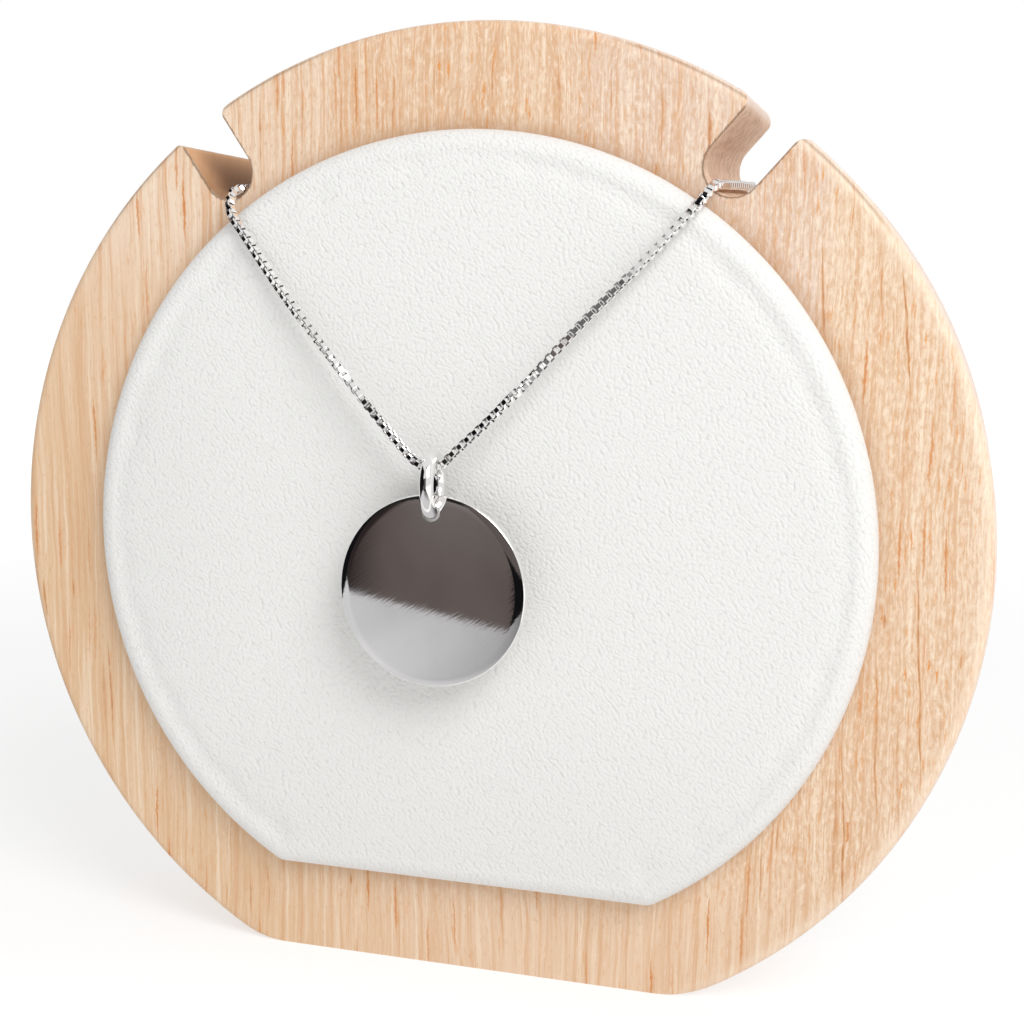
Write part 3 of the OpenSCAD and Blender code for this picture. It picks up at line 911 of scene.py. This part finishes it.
class NECKLACE_OT_stage(bpy.types.Operator):
    """Adds the pale floor, the soft lights and the cards that the silver mirrors"""

    bl_idname = "necklace.stage"
    bl_label = "Add stage"

    def add_floor(self, colour):
        floor = add(bpy.ops.mesh.primitive_plane_add, "floor", size=12, location=(0, 0, 0))
        paint = Paint("pale_floor", Specular_IOR_Level=0.1, Emission_Strength=1.0)
        x, y, _ = paint.axes()
        far = ((x * x + y * y) ** 0.5).step(150, 600)
        glow = paint.mix(far, (0.63, 0.63, 0.63), (0.8, 0.8, 0.8))
        grain = paint.flat_noise(x * 0.01, y * 0.01)
        floor.data.materials.append(paint.feed(
            Base_Color=paint.mix(grain * 0.05, colour, [0.9 * c for c in colour]),
            Roughness=0.8 + 0.1 * grain, Emission_Color=glow))

    def add_world(self):
        """White for the camera, a little dimmer in reflections, dimmest as a soft light."""
        world = bpy.data.worlds.new("studio")
        bpy.context.scene.world = world
        world.cycles.sampling_method = "NONE"
        studio = NodeTree(world)
        lights_things = studio.node("ShaderNodeLightPath", out="Is Diffuse Ray")
        mirrored = studio.node("ShaderNodeLightPath", out="Is Glossy Ray")
        strength = 1 - (1 - WORLD_LIGHT) * lights_things - (1 - WORLD_MIRRORED) * mirrored
        studio.end("OUTPUT_WORLD", studio.node(
            "ShaderNodeBackground", {}, {"Color": (1, 1, 1, 1), "Strength": strength}))

    def add_softbox(self, name, place, target, size, power):
        """A square area light, in metres, that looks at its target."""
        data = bpy.data.lights.new(name, "AREA")
        data.shape, data.size, data.energy = "SQUARE", size, power
        light = bpy.data.objects.new(name, data)
        bpy.context.scene.collection.objects.link(light)
        light.location = place
        light.rotation_euler = (Vector(target) - Vector(place)).to_track_quat("-Z", "Y").to_euler()

    def add_card(self, card, shade):
        """Makes a plane glow, for mirroring surfaces only. shade() gives its colour."""
        paint = Paint(card.name)
        glow = paint.node("ShaderNodeEmission", {}, {"Color": shade(paint), "Strength": 1})
        paint.end("OUTPUT_MATERIAL", glow)
        card.data.materials.append(paint.material)
        card.visible_camera = card.visible_diffuse = card.visible_shadow = False
        card.visible_transmission = card.visible_volume_scatter = False

    def add_screen(self, name, start, end, top, shade):
        """An upright card from one floor point to another, in millimetres."""
        start, end = Vector((*start, 0)) * MM, Vector((*end, 0)) * MM
        run = end - start
        card = add(bpy.ops.mesh.primitive_plane_add, name, size=1,
                   location=(start + end) / 2 + UP * top * MM / 2,
                   rotation=(pi / 2, 0, atan2(run.y, run.x)))
        card.scale = (run.length, top * MM, 1)
        make_active(card)
        bpy.ops.object.transform_apply(location=True, rotation=True, scale=True)
        self.add_card(card, shade)

    def add_table(self, name, corner, far_corner, shade, height=0.5):
        """A level card between two corners, on the floor or higher, in millimetres."""
        low, high = Vector((*corner, height)) * MM, Vector((*far_corner, height)) * MM
        card = add(bpy.ops.mesh.primitive_plane_add, name, size=1, location=(low + high) / 2)
        card.scale = (high.x - low.x, high.y - low.y, 1)
        make_active(card)
        bpy.ops.object.transform_apply(location=True, rotation=True, scale=True)
        self.add_card(card, shade)

    def execute(self, context):
        scene = context.scene
        scene.view_settings.view_transform = "Standard"
        self.add_floor(scene.necklace_colours.floor)
        self.add_world()
        self.add_softbox("key", place=(0.30, -0.30, 0.42), target=(0, 0, 0.06), size=0.3, power=KEY_POWER)
        black, grey = (0.005, 0.005, 0.006), (0.15, 0.145, 0.15)

        def wall_shade(paint):
            """What the silver mirrors in front: browns below, black above, grey high at the right."""
            x, _, z = paint.axes()
            right = x.step(-53, -51)
            mottle = paint.flat_noise(x * 0.03, z * 0.03).step(0.3, 0.7)
            low = paint.mix(mottle, (0.125, 0.102, 0.096), (0.105, 0.083, 0.077))
            low = paint.mix(z.step(8, 58) * x.step(-108, -75), low, (0.19, 0.172, 0.167))
            low = paint.mix(x.step(-97, -119), low, (0.025, 0.018, 0.018))
            low = paint.mix(right, low, paint.mix(z.step(22, 26), black, (0.11, 0.092, 0.088)))
            wall = paint.mix((z - 15 * right).step(58, 62), low, (0.02, 0.018, 0.018))
            return paint.mix(x.step(-28, -20) * z.step(72, 78), wall, grey)

        def black_shade(paint):
            """Plain black, to hide the white world behind a card."""
            return paint.mix(0.0, black, black)

        def table_shade(paint):
            """Lilac white at the left, darker to the right, bright again near the board."""
            x, y, _ = paint.axes()
            light = (0.36 - 0.0049 * (x + 50) + 0.0021 * (y + 230)).highest(0.15)
            light = (light + 0.004 * (y + 150).highest(0)).lowest(0.66)
            light = light + 0.08 * x.step(-94, -76) * x.step(-46, -66)
            return paint.mix(light, (0, 0, 0), (0.98, 0.975, 1.0))

        self.add_screen("brown_screen", (-150, -289), (-52, -229), 165, wall_shade)
        self.add_screen("right_screen", (-52, -229), (-5, -234), 150, wall_shade)
        self.add_screen("middle_screen", (-5, -234), (60, -240), 160, wall_shade)
        self.add_screen("left_screen", (-500, 75), (-150, -289), 330, black_shade)
        self.add_table("table_card", (-145, -330), (90, -30), table_shade)
        self.add_table("dark_card", (-420, -300), (-145.5, 60), black_shade)
        self.add_table("top_card", (0, -265), (80, -190), black_shade, 400)
        return {"FINISHED"}


class NECKLACE_PT_panel(bpy.types.Panel):
    """Sizes, colours and building steps of the necklace"""

    bl_idname = "NECKLACE_PT_panel"
    bl_label = "Medallion necklace"
    bl_space_type = "VIEW_3D"
    bl_region_type = "UI"
    bl_category = "Necklace"

    def draw(self, context):
        for settings in (context.scene.necklace_sizes, context.scene.necklace_colours):
            for key in settings.__annotations__:
                self.layout.prop(settings, key)
        for step in STEPS:
            self.layout.operator(step.bl_idname)


STEPS = (NECKLACE_OT_camera, NECKLACE_OT_board, NECKLACE_OT_pad, NECKLACE_OT_chain,
         NECKLACE_OT_pendant, NECKLACE_OT_clasp, NECKLACE_OT_stage)
CLASSES = (NecklaceSizes, NecklaceColours, *STEPS, NECKLACE_PT_panel)


def register():
    for cls in CLASSES:
        bpy.utils.register_class(cls)
    bpy.types.Scene.necklace_sizes = PointerProperty(type=NecklaceSizes)
    bpy.types.Scene.necklace_colours = PointerProperty(type=NecklaceColours)


def unregister():
    del bpy.types.Scene.necklace_sizes
    del bpy.types.Scene.necklace_colours
    for cls in reversed(CLASSES):
        bpy.utils.unregister_class(cls)


def main():
    register()
    for step in STEPS:
        group, name = step.bl_idname.split(".")
        getattr(getattr(bpy.ops, group), name)()
    clear_selection()


if __name__ == "__main__":
    main()
